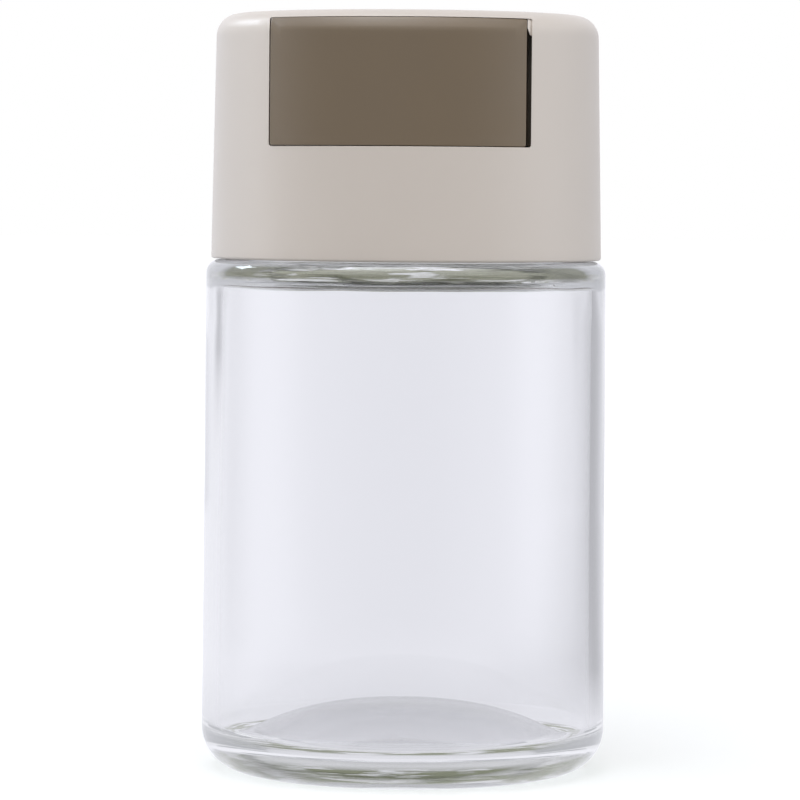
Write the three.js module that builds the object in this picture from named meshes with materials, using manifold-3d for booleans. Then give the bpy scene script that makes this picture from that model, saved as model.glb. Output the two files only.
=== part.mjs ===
// Push-button measuring bottle for salt and other fine seasoning.
// A glass jar carries a screw cap, and the cap holds a slide valve. With the bottle upside down, salt
// fills the slide's chamber through the port in the deck. Pressing the button carries that one dose
// back to the outlet in the cap's top, and two springs push the button out again.
// Millimetres, +Z up, origin at the middle of the jar's foot, button towards -Y.

import * as THREE from "three";
import { mergeVertices } from "three/addons/utils/BufferGeometryUtils.js";
import Module from "manifold-3d";

const wasm = await Module();
wasm.setup();

// Clearances
const seatGap = 0.1; // between flat faces that rest on each other
const fitGap = 0.3; // round a piece that is pushed into another and stays there
const runningGap = 0.3; // under and beside a piece that slides

// Glass jar
const jarDiameter = 60; // at the heel, its widest
const jarTaper = 0.6; // how much narrower the jar is at its shoulder
const jarBodyHeight = 76; // foot to shoulder
const glassWall = 2.2;
const heelRadius = 6.5;
const shoulderRadius = 2;
const crownThickness = 3.5; // glass between the shoulder and the hollow
const crownCorner = 0.6; // round the hollow's upper edge
const boreEdge = 0.8; // round the lower edge of the neck's bore
const floorThickness = 4.7; // glass over the foot ring
const floorDome = 5; // rise of the floor to its middle
const footRingWidth = 3.5;
const puntDepth = 4; // hollow under the jar
const neckDiameter = 46.8; // without the thread
const neckHeight = 12; // shoulder to rim
const neckWall = 2.6;
const neckRootRadius = 1.2;
const rimRadius = 1;

// Gasket
const gasketThickness = 1.5;
const gasketOverhang = 0.8; // past the outside of the neck
const gasketInset = 0.4; // back from the bore of the neck

// Inner cap, which screws on the neck and carries the valve
const threadRoom = 1.5; // between the neck and the collar, where the thread turns
const collarWall = 1.7;
const collarLift = 2.4; // from the cap's lower edge up to the collar
const deckThickness = 2.2;
const railWidth = 1.6;
const bossDiameter = 5;
const frontBossY = 0.5;
const backBossMargin = 2; // from the outlet's edge back to the screws behind it

// Cap shell
const capLift = 0.15; // air between the jar's shoulder and the cap's lower edge
const capHeight = 36.15;
const capDraft = THREE.MathUtils.degToRad(1.1);
const skirtWall = 2.1; // round the collar
const sideWall = 1.8; // above the deck
const topWall = 1.8;
const capEdgeRadius = 3.3;
const lowerLipRadius = 0.4;
const snapBeadHeight = 0.7;
const snapBeadWidth = 1.2;
const snapBeadLift = 0.8; // from the cap's lower edge
const ribThickness = 1.2;
const ribReach = 1.7; // how far a rib covers the deck's rim
const keyDepth = 1.2; // how far a rib stands in its notch in the rim, so that both turn together
const ribBearings = [-5, 40, 90, 140, 185]; // degrees from +X, clear of the window

// Button and its window
const windowWidth = 37.8;
const windowBottom = 16.55; // above the cap's lower edge
const windowLip = 1.1; // top of the cap left over the window
const pocketWall = 1.2;
const pocketDepth = 4; // from the window's side edge back to the end of the pocket wall
const buttonSideGap = 0.55;
const buttonTopGap = 0.1;
const buttonSillGap = 0.2; // over the window's lower edge
const buttonSidePlay = 0.2; // the button lies this far to its left in the window
const buttonWall = 2;
const skirtFlange = 1.4; // stands out behind the pocket wall and keeps the button in
const flangeThickness = 1.5;

// Dosing slide
const chamberWidth = 14;
const chamberLength = 6;
const chamberCorner = 1.5;
const slideThickness = 5; // the chamber holds width x length x this
const slideRim = 5; // beside the chamber
const sealLand = 2; // slide between the inlet and the outlet
const slideTail = 10.5; // behind the chamber
const slideNose = 12.5; // in front of the chamber
const tabWidth = 12;
const tabThickness = 2;
const hookThickness = 1.4;
const hookLip = 1.2;
const hookRoom = 0.5; // between the hooks and the cover under them

// Silicone frames round the ports
const sealWidth = 1.7;
const sealThickness = 1;
const sealProud = 0.2;

// Valve cover and outlet chute
const coverThickness = 2;
const coverCorner = 3;
const coverMargin = 2.5; // from a screw's axis to the edge of the plate
const chuteWall = 1.2;
const seatWall = 1.8; // the posts that the springs push against
const gussetLength = 6;

// Springs
const springDiameter = 7; // outside
const springWire = 0.8;
const springTurns = 7;
const springEndPitch = 1.36; // of the closer turn at each end
const springSpacing = 25; // between the two axes
const springRoom = 0.55; // between a spring and the button's top wall
const guideDiameter = 4.4;
const guideRoom = 1; // left between the two guides when the button is pressed
const springBossDiameter = 8.4;
const springBossDepth = 1.5;

// Screws
const screwDiameter = 2;
const screwLength = 7;
const screwHeadDiameter = 3.8;
const screwHeadHeight = 1.4;
const screwRecess = 0.7;
const screwHoleRoom = 0.3; // round the screw in the cover

// Facets
const outerSegments = 64;
const innerSegments = 48;
const smallSegments = 16;
const springSides = 5;
const springSteps = 8; // in one turn
const mergeDistance = 1e-4;
const reach = 60; // longer than anything that a cut has to pass

// Places in the jar's frame
const neckRadius = neckDiameter / 2;
const rimZ = jarBodyHeight + neckHeight;

// Places in the cap's frame, whose zero is the cap's lower edge
const capBottomZ = jarBodyHeight + capLift;
const gasketZ = rimZ - capBottomZ + seatGap;
const deckBottom = gasketZ + gasketThickness + seatGap;
const deckTop = deckBottom + deckThickness;
const slideBottom = deckTop + runningGap;
const slideTop = slideBottom + slideThickness;
const coverBottom = slideTop + runningGap;
const coverTop = coverBottom + coverThickness;
const ceiling = capHeight - topWall;
const windowTop = capHeight - windowLip;
const collarInner = neckRadius + threadRoom;
const collarOuter = collarInner + collarWall;
const shellBore = collarOuter + fitGap;
const capBottomRadius = shellBore + skirtWall;
const buttonTravel = chamberLength + sealLand;
const outletY = buttonTravel;
const slideWidth = chamberWidth + 2 * slideRim;
const slideFront = -(chamberLength / 2 + slideNose);
const slideBack = chamberLength / 2 + slideTail;
const railX = slideWidth / 2 + runningGap;
const bossX = railX + (railWidth + bossDiameter) / 2;
const backBossY = outletY + chamberLength / 2 + backBossMargin;
const coverFront = frontBossY - coverMargin - seatWall;
const buttonBottom = windowBottom + buttonSillGap;
const buttonTop = windowTop - buttonTopGap;
const buttonHalfWidth = windowWidth / 2 - buttonSideGap;
const springZ = buttonTop - buttonWall - springRoom - springDiameter / 2;
const springX = springSpacing / 2;
const hookBottom = coverTop + hookRoom;
const hookTop = springZ + guideDiameter / 2;
const windowEdgeY = -Math.sqrt(capRadius(windowBottom) ** 2 - (windowWidth / 2) ** 2);
const pocketEnd = windowEdgeY + sideWall + pocketDepth;
const flangeY = [pocketEnd + runningGap, pocketEnd + runningGap + flangeThickness];

// Materials
const finishes = {
  glass: { color: 0xe3e8e8, roughness: 0.05, metalness: 0, transparent: true, opacity: 0.35 },
  cream: { color: 0xd9d2ca, roughness: 0.5, metalness: 0 },
  taupe: { color: 0x7b6c59, roughness: 0.45, metalness: 0 },
  white: { color: 0xf0efec, roughness: 0.4, metalness: 0 },
  silicone: { color: 0xe9eae8, roughness: 0.6, metalness: 0 },
  steel: { color: 0xb9bcc0, roughness: 0.3, metalness: 1 },
};

// Outside radius of the cap's wall at a height above its lower edge.
function capRadius(z) {
  return capBottomRadius - z * Math.tan(capDraft);
}

// Points of an arc in a profile, from one angle to another in degrees.
function arc(centreR, centreZ, radius, fromDeg, toDeg, steps) {
  const from = THREE.MathUtils.degToRad(fromDeg);
  const to = THREE.MathUtils.degToRad(toDeg);
  return Array.from({ length: steps + 1 }, (_, i) => {
    const angle = from + ((to - from) * i) / steps;
    return [centreR + radius * Math.cos(angle), centreZ + radius * Math.sin(angle)];
  });
}

// Points of a shallow dome in a profile, from its edge to the axis.
function dome(edgeR, edgeZ, rise, steps) {
  return Array.from({ length: steps + 1 }, (_, i) => {
    const share = 1 - i / steps;
    return [edgeR * share, edgeZ + rise * (1 - share * share)];
  });
}

// A closed geometry as a solid that can be joined and cut.
function solid(geometry) {
  const bare = geometry.index ? geometry.toNonIndexed() : geometry.clone();
  bare.deleteAttribute("normal");
  bare.deleteAttribute("uv");
  const merged = mergeVertices(bare, mergeDistance);
  const corners = merged.index.array;
  const kept = [];
  for (let i = 0; i < corners.length; i += 3) {
    const [a, b, c] = corners.slice(i, i + 3);
    if (a !== b && b !== c && c !== a) kept.push(a, b, c);
  }
  return new wasm.Manifold(
    new wasm.Mesh({
      numProp: 3,
      vertProperties: merged.attributes.position.array,
      triVerts: new Uint32Array(kept),
    }),
  );
}

function geometryOf(body) {
  const mesh = body.getMesh();
  const geometry = new THREE.BufferGeometry();
  geometry.setAttribute("position", new THREE.BufferAttribute(mesh.vertProperties, 3));
  geometry.setIndex(new THREE.BufferAttribute(mesh.triVerts, 1));
  geometry.computeVertexNormals();
  return geometry;
}

// A profile of [radius, height] turned round Z, listed anticlockwise.
function revolve(profile, segments) {
  const points = profile.map(([r, z]) => new THREE.Vector2(r, z));
  return solid(new THREE.LatheGeometry(points, segments).rotateX(Math.PI / 2));
}

// A ring's profile closes on itself.
function revolveRing(profile, segments) {
  return revolve([...profile, profile[0]], segments);
}

// A block between two limits on each axis, in either order, turned by a bearing in degrees.
function box(xs, ys, zs, bearing = 0) {
  const size = [xs, ys, zs].map(([low, high]) => Math.abs(high - low));
  const middle = [xs, ys, zs].map(([low, high]) => (low + high) / 2);
  const block = new THREE.BoxGeometry(...size).translate(...middle);
  return solid(block.rotateZ(THREE.MathUtils.degToRad(bearing)));
}

// A round bar along Z or, with alongY, along Y.
function bar(diameter, [x, y, z], length, alongY = false) {
  const geometry = new THREE.CylinderGeometry(diameter / 2, diameter / 2, length, smallSegments);
  geometry.translate(0, length / 2, 0);
  if (!alongY) geometry.rotateX(Math.PI / 2);
  return solid(geometry.translate(x, y, z));
}

// A rectangle with round corners, about a middle in Y.
function roundedShape(width, length, corner, middleY) {
  const shape = new THREE.Shape();
  const x = width / 2 - corner;
  const y = length / 2 - corner;
  shape.absarc(x, middleY - y, corner, -Math.PI / 2, 0);
  shape.absarc(x, middleY + y, corner, 0, Math.PI / 2);
  shape.absarc(-x, middleY + y, corner, Math.PI / 2, Math.PI);
  shape.absarc(-x, middleY - y, corner, Math.PI, 1.5 * Math.PI);
  shape.closePath();
  return shape;
}

function prism(shape, [low, high], curveSegments = 2) {
  const made = new THREE.ExtrudeGeometry(shape, { depth: high - low, bevelEnabled: false, curveSegments });
  return solid(made.translate(0, 0, low));
}

// The chamber's outline grown by an offset on every side, as a prism.
function portPrism(middleY, offset, heights) {
  const corner = chamberCorner + offset;
  return prism(
    roundedShape(chamberWidth + 2 * offset, chamberLength + 2 * offset, corner, middleY),
    heights,
  );
}

function joined(bodies) {
  return bodies.reduce((all, body) => all.add(body));
}

function cut(body, tools) {
  return tools.reduce((left, tool) => left.subtract(tool), body);
}

// The cap's outside form, or the same form taken in by an offset.
function capForm(offset) {
  const round = capEdgeRadius - Math.min(offset, capEdgeRadius / 2);
  const top = capHeight - offset;
  const roundZ = top - round;
  const roundR = capRadius(roundZ) - offset - round;
  return revolve(
    [
      [0, 0],
      [capBottomRadius - offset, 0],
      ...arc(roundR, roundZ, round, 0, 90, 6),
      [0, top],
    ],
    outerSegments,
  );
}

function makeJar() {
  const heelR = jarDiameter / 2;
  const shoulderR = heelR - jarTaper / 2;
  const hollowTop = jarBodyHeight - crownThickness;
  const boreR = neckRadius - neckWall;
  const innerHeel = heelRadius - glassWall;
  const footOuter = heelR - heelRadius;
  const footInner = footOuter - footRingWidth;
  const hollowLowR = heelR - glassWall;
  const hollowHighR = shoulderR - glassWall;
  return revolve(
    [
      ...dome(footInner, 0, puntDepth, 5).reverse(),
      ...arc(footOuter, heelRadius, heelRadius, -90, 0, 6),
      ...arc(shoulderR - shoulderRadius, jarBodyHeight - shoulderRadius, shoulderRadius, 0, 90, 4),
      ...arc(neckRadius + neckRootRadius, jarBodyHeight + neckRootRadius, neckRootRadius, 270, 180, 2),
      ...arc(neckRadius - rimRadius, rimZ - rimRadius, rimRadius, 0, 90, 2),
      ...arc(boreR + rimRadius, rimZ - rimRadius, rimRadius, 90, 180, 2),
      ...arc(boreR + boreEdge, hollowTop + boreEdge, boreEdge, 180, 270, 2),
      ...arc(hollowHighR - crownCorner, hollowTop - crownCorner, crownCorner, 90, 0, 2),
      ...arc(hollowLowR - innerHeel, floorThickness + innerHeel, innerHeel, 0, -90, 4),
      ...dome(hollowLowR - innerHeel, floorThickness, floorDome, 5).slice(1),
    ],
    outerSegments,
  );
}

function makeGasket() {
  const inner = neckRadius - neckWall + gasketInset;
  const outer = neckRadius + gasketOverhang;
  const top = gasketZ + gasketThickness;
  return revolveRing(
    [
      [inner, gasketZ],
      [outer, gasketZ],
      [outer, top],
      [inner, top],
    ],
    innerSegments,
  );
}

function bossPlaces() {
  return [frontBossY, backBossY].flatMap((y) => [-bossX, bossX].map((x) => [x, y]));
}

function makeInnerCap() {
  const cup = revolve(
    [
      [0, deckBottom],
      [collarInner, deckBottom],
      [collarInner, collarLift],
      [collarOuter, collarLift],
      [collarOuter, deckTop],
      [0, deckTop],
    ],
    innerSegments,
  );
  const railZ = [deckTop - seatGap, coverBottom - seatGap];
  const railY = [frontBossY - coverMargin - railWidth, backBossY + coverMargin + buttonTravel / 2];
  const rails = [
    box([railX, railX + railWidth], railY, railZ),
    box([-railX - railWidth, -railX], railY, railZ),
  ];
  const bosses = bossPlaces().map(([x, y]) => bar(bossDiameter, [x, y, railZ[0]], railZ[1] - railZ[0]));
  const pilots = bossPlaces().map(([x, y]) => {
    const low = coverTop + seatGap - screwLength - runningGap;
    return bar(screwDiameter + 2 * seatGap, [x, y, low], reach);
  });
  const notches = ribBearings.map((bearing) => {
    const half = ribThickness / 2 + fitGap;
    const across = [collarOuter - ribReach - fitGap, reach];
    return box(across, [-half, half], [deckTop - keyDepth, reach], bearing);
  });
  return cut(joined([cup, ...rails, ...bosses]), [
    ...pilots,
    ...notches,
    portPrism(0, 0, [0, reach]),
    portPrism(0, sealWidth + seatGap, [deckTop + sealProud - sealThickness - seatGap, deckTop]),
  ]);
}

// A silicone frame round a port.
function makeSeal(middleY, heights) {
  return portPrism(middleY, sealWidth, heights).subtract(portPrism(middleY, seatGap, [0, reach]));
}

function makeSlide() {
  const middleY = (slideFront + slideBack) / 2;
  const outline = roundedShape(slideWidth, slideBack - slideFront, chamberCorner, middleY);
  const plate = prism(outline, [slideBottom, slideTop]);
  const tabX = [-tabWidth / 2, tabWidth / 2];
  const tab = box(tabX, [slideFront, slideFront + tabThickness], [slideTop - seatGap, hookTop]);
  return plate.add(tab).subtract(portPrism(0, 0, [0, reach]));
}

function makeCover() {
  const back = backBossY + coverMargin;
  const halfWidth = bossX + coverMargin;
  const plateOutline = roundedShape(2 * halfWidth, back - coverFront, coverCorner, (back + coverFront) / 2);
  const plate = prism(plateOutline, [coverBottom, coverTop]);
  const chute = portPrism(outletY, chuteWall + seatGap, [coverBottom, capHeight - seatGap]);
  const seatTop = springZ + springDiameter / 2;
  const seats = [-1, 1].flatMap((side) => {
    const across = [springX - springDiameter / 2, springX + springDiameter / 2].map((x) => x * side);
    const wall = box(across, [coverFront, coverFront + seatWall], [coverTop - seatGap, seatTop]);
    const gussetShape = new THREE.Shape([
      new THREE.Vector2(0, 0),
      new THREE.Vector2(gussetLength, 0),
      new THREE.Vector2(0, seatTop - coverTop),
    ]);
    const gusset = new THREE.ExtrudeGeometry(gussetShape, { depth: seatWall, bevelEnabled: false });
    gusset.rotateX(Math.PI / 2).rotateZ(Math.PI / 2);
    gusset.translate(side * springX - seatWall / 2, coverFront + seatWall - seatGap, coverTop - seatGap);
    const guide = bar(
      guideDiameter,
      [side * springX, coverFront - guideLength(), springZ],
      guideLength() + seatGap,
      true,
    );
    return [wall, solid(gusset), guide];
  });
  const holes = bossPlaces().map(([x, y]) => bar(screwDiameter + 2 * screwHoleRoom, [x, y, 0], reach));
  return cut(joined([plate, chute, ...seats]), [
    ...holes,
    portPrism(outletY, seatGap, [0, reach]),
    portPrism(outletY, sealWidth + seatGap, [coverBottom, coverBottom - sealProud + sealThickness + seatGap]),
  ]);
}

function makeScrew([x, y]) {
  const under = coverTop + seatGap;
  const shank = bar(screwDiameter, [x, y, under - screwLength], screwLength + seatGap);
  const head = bar(screwHeadDiameter, [x, y, under], screwHeadHeight);
  const arm = screwHeadDiameter / 3;
  const slot = arm / 4;
  const recessZ = [under + screwHeadHeight - screwRecess, reach];
  return cut(head.add(shank), [
    box([x - arm, x + arm], [y - slot, y + slot], recessZ),
    box([x - slot, x + slot], [y - arm, y + arm], recessZ),
  ]);
}

function makeShell() {
  const insideRound = capEdgeRadius - sideWall;
  const roundZ = ceiling - insideRound;
  const roundR = capRadius(roundZ) - sideWall - insideRound;
  const beadMiddle = snapBeadLift + snapBeadWidth / 2;
  const hollow = revolve(
    [
      [0, -seatGap],
      [shellBore, -seatGap],
      [shellBore, snapBeadLift],
      [shellBore - snapBeadHeight, beadMiddle],
      [shellBore, snapBeadLift + snapBeadWidth],
      [shellBore, deckTop],
      ...arc(roundR, roundZ, insideRound, 0, 90, 3),
      [0, ceiling],
    ],
    outerSegments,
  );
  const outside = capForm(0);
  const lipCut = revolveRing(
    [
      [capBottomRadius + lowerLipRadius, -lowerLipRadius],
      [capBottomRadius + lowerLipRadius, lowerLipRadius],
      ...arc(capBottomRadius - lowerLipRadius, lowerLipRadius, lowerLipRadius, 0, -90, 3),
      [capBottomRadius - lowerLipRadius, -lowerLipRadius],
    ],
    outerSegments,
  );
  const half = windowWidth / 2;
  const windowBack = flangeY[1] + buttonTravel + runningGap;
  const windowCut = box([-half, half], [-reach, windowBack], [windowBottom, windowTop]);
  const ribs = ribBearings.map((bearing) => {
    const bladeX = [collarOuter - ribReach, shellBore + sideWall];
    const half = ribThickness / 2;
    const low = deckTop - keyDepth + seatGap;
    return box(bladeX, [-half, half], [low, ceiling + seatGap], bearing);
  });
  const pockets = [-1, 1].map((side) => {
    const xs = [half * side, (half + pocketWall) * side];
    return box(xs, [-reach, pocketEnd], [windowBottom, ceiling + seatGap]);
  });
  const inside = capForm(sideWall / 2);
  const fittings = joined([...ribs, ...pockets]).intersect(inside);
  return cut(outside.subtract(hollow).subtract(windowCut).add(fittings), [
    lipCut,
    portPrism(outletY, chuteWall + fitGap, [coverTop, reach]),
  ]);
}

function makeButton() {
  const heights = [buttonBottom, buttonTop];
  const xs = [-buttonHalfWidth, buttonHalfWidth];
  const block = capForm(0).intersect(box(xs, [-reach, flangeY[1]], heights));
  const inside = [-buttonHalfWidth + buttonWall, buttonHalfWidth - buttonWall];
  const hollowForm = capForm(buttonWall);
  const hollow = hollowForm.intersect(
    box(inside, [-reach, 0], [buttonBottom + buttonWall, buttonTop - buttonWall]),
  );
  const slideRoomX = slideWidth / 2 + 2 * runningGap;
  const slideRoom = box(
    [-slideRoomX, slideRoomX],
    [slideFront - 2 * runningGap, 0],
    [0, coverTop + runningGap],
  );
  const flanges = [-1, 1].map((side) => {
    const across = [(buttonHalfWidth - buttonWall) * side, (buttonHalfWidth + skirtFlange) * side];
    return box(across, flangeY, [buttonBottom, buttonTop - buttonWall]);
  });
  const backing = capForm(buttonWall / 2).intersect(box(xs, [-reach, slideFront], heights));
  const bossFace = coverFront - springLength() - seatGap;
  const bosses = [-1, 1].flatMap((side) => [
    bar(springBossDiameter, [side * springX, -reach, springZ], reach + bossFace, true).intersect(backing),
    bar(guideDiameter, [side * springX, bossFace - seatGap, springZ], guideLength() + seatGap, true),
  ]);
  const hookX = tabWidth / 2 + runningGap;
  const tabBack = slideFront + tabThickness;
  const hooks = [-1, 1].flatMap((side) => {
    const arm = [hookX, hookX + hookThickness].map((x) => x * side);
    const lip = [hookX - hookLip, hookX + hookThickness].map((x) => x * side);
    const stay = [hookX - 2 * hookLip - hookThickness, hookX - 2 * hookLip].map((x) => x * side);
    const lipY = [tabBack + seatGap, tabBack + seatGap + hookThickness];
    return [
      box(arm, [-reach, lipY[1]], [hookBottom, hookTop]),
      box(lip, lipY, [hookBottom, hookTop]),
      box(stay, [-reach, slideFront - seatGap], [hookBottom, hookTop]),
    ];
  });
  const fittings = joined(hooks).intersect(capForm(buttonWall / 2));
  return joined([block.subtract(hollow).subtract(slideRoom), ...flanges, ...bosses, fittings]);
}

// Length of a spring at rest, from the face on the button to the post on the cover.
function springLength() {
  const faceRadius = capRadius(springZ) - buttonWall;
  const faceY = -Math.sqrt(faceRadius ** 2 - (springX + springBossDiameter / 2) ** 2);
  return coverFront - seatGap - (faceY + springBossDepth);
}

// Length of the guide inside each end of a spring.
function guideLength() {
  return (springLength() - buttonTravel - guideRoom) / 2;
}

// A spring's wire: closely wound at both ends and open between them.
class SpringWire extends THREE.Curve {
  constructor(length) {
    super();
    this.rise = length - springWire;
    this.radius = (springDiameter - springWire) / 2;
  }

  getPoint(t, target = new THREE.Vector3()) {
    const angle = 2 * Math.PI * springTurns * t;
    const endTurn = 1 / springTurns;
    const middle = (t - endTurn) / (1 - 2 * endTurn);
    let along = springEndPitch + (this.rise - 2 * springEndPitch) * middle;
    if (t < endTurn) along = (springEndPitch * t) / endTurn;
    if (t > 1 - endTurn) along = this.rise - (springEndPitch * (1 - t)) / endTurn;
    return target.set(this.radius * Math.cos(angle), along, this.radius * Math.sin(angle));
  }
}

// Least gap between a wire's turns, from points along it.
function leastGap(curve, turns, wire) {
  const inTurn = 24;
  const points = curve.getPoints(turns * inTurn);
  let least = Infinity;
  points.forEach((point, i) => {
    for (const other of points.slice(i + inTurn / 2)) {
      least = Math.min(least, point.distanceTo(other) - wire);
    }
  });
  return least;
}

function makeSpring() {
  const wire = new SpringWire(springLength());
  console.log(`spring, least gap between turns: ${leastGap(wire, springTurns, springWire).toFixed(2)} mm`);
  const corners = Array.from({ length: springSides }, (_, i) => {
    const angle = (2 * Math.PI * i) / springSides;
    return new THREE.Vector2(Math.cos(angle), Math.sin(angle)).multiplyScalar(springWire / 2);
  });
  const made = new THREE.ExtrudeGeometry(new THREE.Shape(corners), {
    steps: springTurns * springSteps,
    extrudePath: wire,
  });
  return solid(made.translate(0, coverFront - seatGap - springLength() + springWire / 2, springZ));
}

function piece(parent, name, body, finish) {
  const mesh = new THREE.Mesh(geometryOf(body), new THREE.MeshStandardMaterial(finishes[finish]));
  mesh.name = name;
  parent.add(mesh);
  return mesh;
}

const bottle = new THREE.Group();
piece(bottle, "glass_jar", makeJar(), "glass");

const cap = new THREE.Group();
cap.position.z = capBottomZ;
bottle.add(cap);
piece(cap, "gasket", makeGasket(), "silicone");
piece(cap, "inner_cap", makeInnerCap(), "white");
piece(cap, "inlet_seal", makeSeal(0, [deckTop + sealProud - sealThickness, deckTop + sealProud]), "silicone");
piece(cap, "valve_cover", makeCover(), "cream");
piece(
  cap,
  "outlet_seal",
  makeSeal(outletY, [coverBottom - sealProud, coverBottom - sealProud + sealThickness]),
  "silicone",
);
bossPlaces().forEach((place, i) => piece(cap, `cover_screw_${i + 1}`, makeScrew(place), "steel"));
piece(cap, "return_spring_left", makeSpring(), "steel").position.x = -springX;
piece(cap, "return_spring_right", makeSpring(), "steel").position.x = springX;
piece(cap, "cap_shell", makeShell(), "cream");

const plunger = new THREE.Group();
cap.add(plunger);
piece(plunger, "dosing_slide", makeSlide(), "white");
piece(plunger, "push_button", makeButton(), "taupe").position.x = -buttonSidePlay;

export default bottle;
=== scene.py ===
import math

import bmesh
import bpy
from mathutils import Matrix, Vector


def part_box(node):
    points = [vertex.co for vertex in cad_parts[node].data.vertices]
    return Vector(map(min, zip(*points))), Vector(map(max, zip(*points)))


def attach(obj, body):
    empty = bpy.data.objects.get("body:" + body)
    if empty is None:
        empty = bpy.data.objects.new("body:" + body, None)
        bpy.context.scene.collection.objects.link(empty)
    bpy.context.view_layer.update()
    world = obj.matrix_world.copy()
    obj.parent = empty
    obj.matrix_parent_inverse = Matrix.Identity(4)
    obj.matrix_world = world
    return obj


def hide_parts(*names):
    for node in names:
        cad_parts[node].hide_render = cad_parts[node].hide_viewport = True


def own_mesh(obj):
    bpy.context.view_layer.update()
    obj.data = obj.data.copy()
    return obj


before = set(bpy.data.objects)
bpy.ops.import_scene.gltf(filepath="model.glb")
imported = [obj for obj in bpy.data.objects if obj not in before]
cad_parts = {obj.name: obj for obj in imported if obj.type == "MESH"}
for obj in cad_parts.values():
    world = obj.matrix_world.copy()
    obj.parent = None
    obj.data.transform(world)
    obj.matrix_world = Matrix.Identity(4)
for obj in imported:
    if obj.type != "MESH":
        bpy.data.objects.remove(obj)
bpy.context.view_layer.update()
mm = 0.001  # sizes are written in millimetres, the scene is in metres
print("frame loaded:", len(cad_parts), "nodes")


# where a node of the frame lies, in millimetres
def nodeBox(node):
    low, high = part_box(node)
    return low / mm, high / mm


# mesh helpers

def addMesh(name, points, faces):
    mesh = bpy.data.meshes.new(name)
    mesh.from_pydata([Vector(point) * mm for point in points], [], faces)
    piece = bpy.data.objects.new(name, mesh)
    bpy.context.scene.collection.objects.link(piece)
    weld(piece)
    return piece


weldReach = 0.0005  # points nearer than this become one


# merges shared points and turns every face outwards
def weld(piece):
    made = bmesh.new()
    made.from_mesh(piece.data)
    bmesh.ops.remove_doubles(made, verts=made.verts, dist=weldReach * mm)
    bmesh.ops.dissolve_degenerate(made, edges=made.edges, dist=weldReach * mm)
    bmesh.ops.recalc_face_normals(made, faces=made.faces)
    made.to_mesh(piece.data)
    made.free()


def smooth(piece, sharpDeg=32):
    piece.data.polygons.foreach_set("use_smooth", [True] * len(piece.data.polygons))
    piece.data.set_sharp_from_angle(angle=math.radians(sharpDeg))
    piece.data.update()


# faces between rows of points, where a row is a closed ring or a single point
def skinFaces(rows):
    points, faces, starts = [], [], []
    for row in rows:
        starts.append(len(points))
        points.extend(row)
    for a, b in zip(range(len(rows)), range(1, len(rows))):
        countA, countB = len(rows[a]), len(rows[b])
        for i in range(max(countA, countB)):
            j = (i + 1) % max(countA, countB)
            corners = [starts[a] + i % countA, starts[a] + j % countA]
            corners += [starts[b] + j % countB, starts[b] + i % countB]
            faces.append(list(dict.fromkeys(corners)))
    return points, faces


# adds the skin between more rows to a mesh
def addSkin(points, faces, rows):
    more, moreFaces = skinFaces(rows)
    faces += [[i + len(points) for i in face] for face in moreFaces]
    points += more


def closeWith(points, faces, row):
    faces.append(list(range(len(points), len(points) + len(row))))
    points.extend(row)


def arc(centreR, centreZ, radius, fromDeg, toDeg, steps):
    turns = [math.radians(fromDeg + (toDeg - fromDeg) * i / steps) for i in range(steps + 1)]
    return [(centreR + radius * math.cos(a), centreZ + radius * math.sin(a)) for a in turns]


# points between two ends of a straight stretch, without the ends
def between(start, end, count):
    shares = [(i + 1) / (count + 1) for i in range(count)]
    return [(start[0] + (end[0] - start[0]) * t, start[1] + (end[1] - start[1]) * t) for t in shares]


# a profile of (radius, height) turned round the axis
def turned(profile, segments, shape=None):
    rows = []
    for r, z in profile:
        if r < 1e-6:
            rows.append([(0, 0, z)])
            continue
        row = []
        for i in range(segments):
            angle = 2 * math.pi * i / segments
            reach, height = shape(r, z, angle) if shape else (r, z)
            row.append((reach * math.sin(angle), -reach * math.cos(angle), height))
        rows.append(row)
    return skinFaces(rows)


def block(name, low, high, turnDeg=0):
    points = [(x, y, z) for x in (low[0], high[0]) for y in (low[1], high[1]) for z in (low[2], high[2])]
    spin = Matrix.Rotation(math.radians(turnDeg), 3, "Z")
    faces = [(0, 1, 3, 2), (4, 6, 7, 5), (0, 4, 5, 1), (2, 3, 7, 6), (0, 2, 6, 4), (1, 5, 7, 3)]
    return addMesh(name, [spin @ Vector(point) for point in points], faces)


# a round bar along Y
def rod(name, radius, x, z, fromY, toY, segments=48):
    turns = [2 * math.pi * i / segments for i in range(segments)]
    ends = [[(x + radius * math.cos(a), y, z + radius * math.sin(a)) for a in turns] for y in (fromY, toY)]
    points, faces = skinFaces([[(x, fromY, z)], *ends, [(x, toY, z)]])
    return addMesh(name, points, faces)


def combine(piece, other, operation):
    step = piece.modifiers.new("combine", "BOOLEAN")
    step.operation = operation
    step.solver = "EXACT"
    step.object = other
    made = bpy.data.meshes.new_from_object(piece.evaluated_get(bpy.context.evaluated_depsgraph_get()))
    piece.modifiers.clear()
    piece.data = made
    bpy.data.objects.remove(other)
    return piece


def smoothStep(low, high, value):
    share = min(1, max(0, (value - low) / (high - low)))
    return share * share * (3 - 2 * share)


# materials

# sets a node's input to a value, or feeds it from another node
def feed(tree, node, name, source):
    if isinstance(source, bpy.types.NodeSocket):
        tree.links.new(source, node.inputs[name])
    else:
        node.inputs[name].default_value = source


def newMaterial(name):
    material = bpy.data.materials.new(name)
    material.use_nodes = True
    tree = material.node_tree
    tree.nodes.clear()
    shader = tree.nodes.new("ShaderNodeBsdfPrincipled")
    output = tree.nodes.new("ShaderNodeOutputMaterial")
    feed(tree, output, "Surface", shader.outputs["BSDF"])
    return material, shader, output


def maths(tree, operation, *terms):
    node = tree.nodes.new("ShaderNodeMath")
    node.operation = operation
    for i, term in enumerate(terms):
        feed(tree, node, i, term)
    return node.outputs["Value"]


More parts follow.
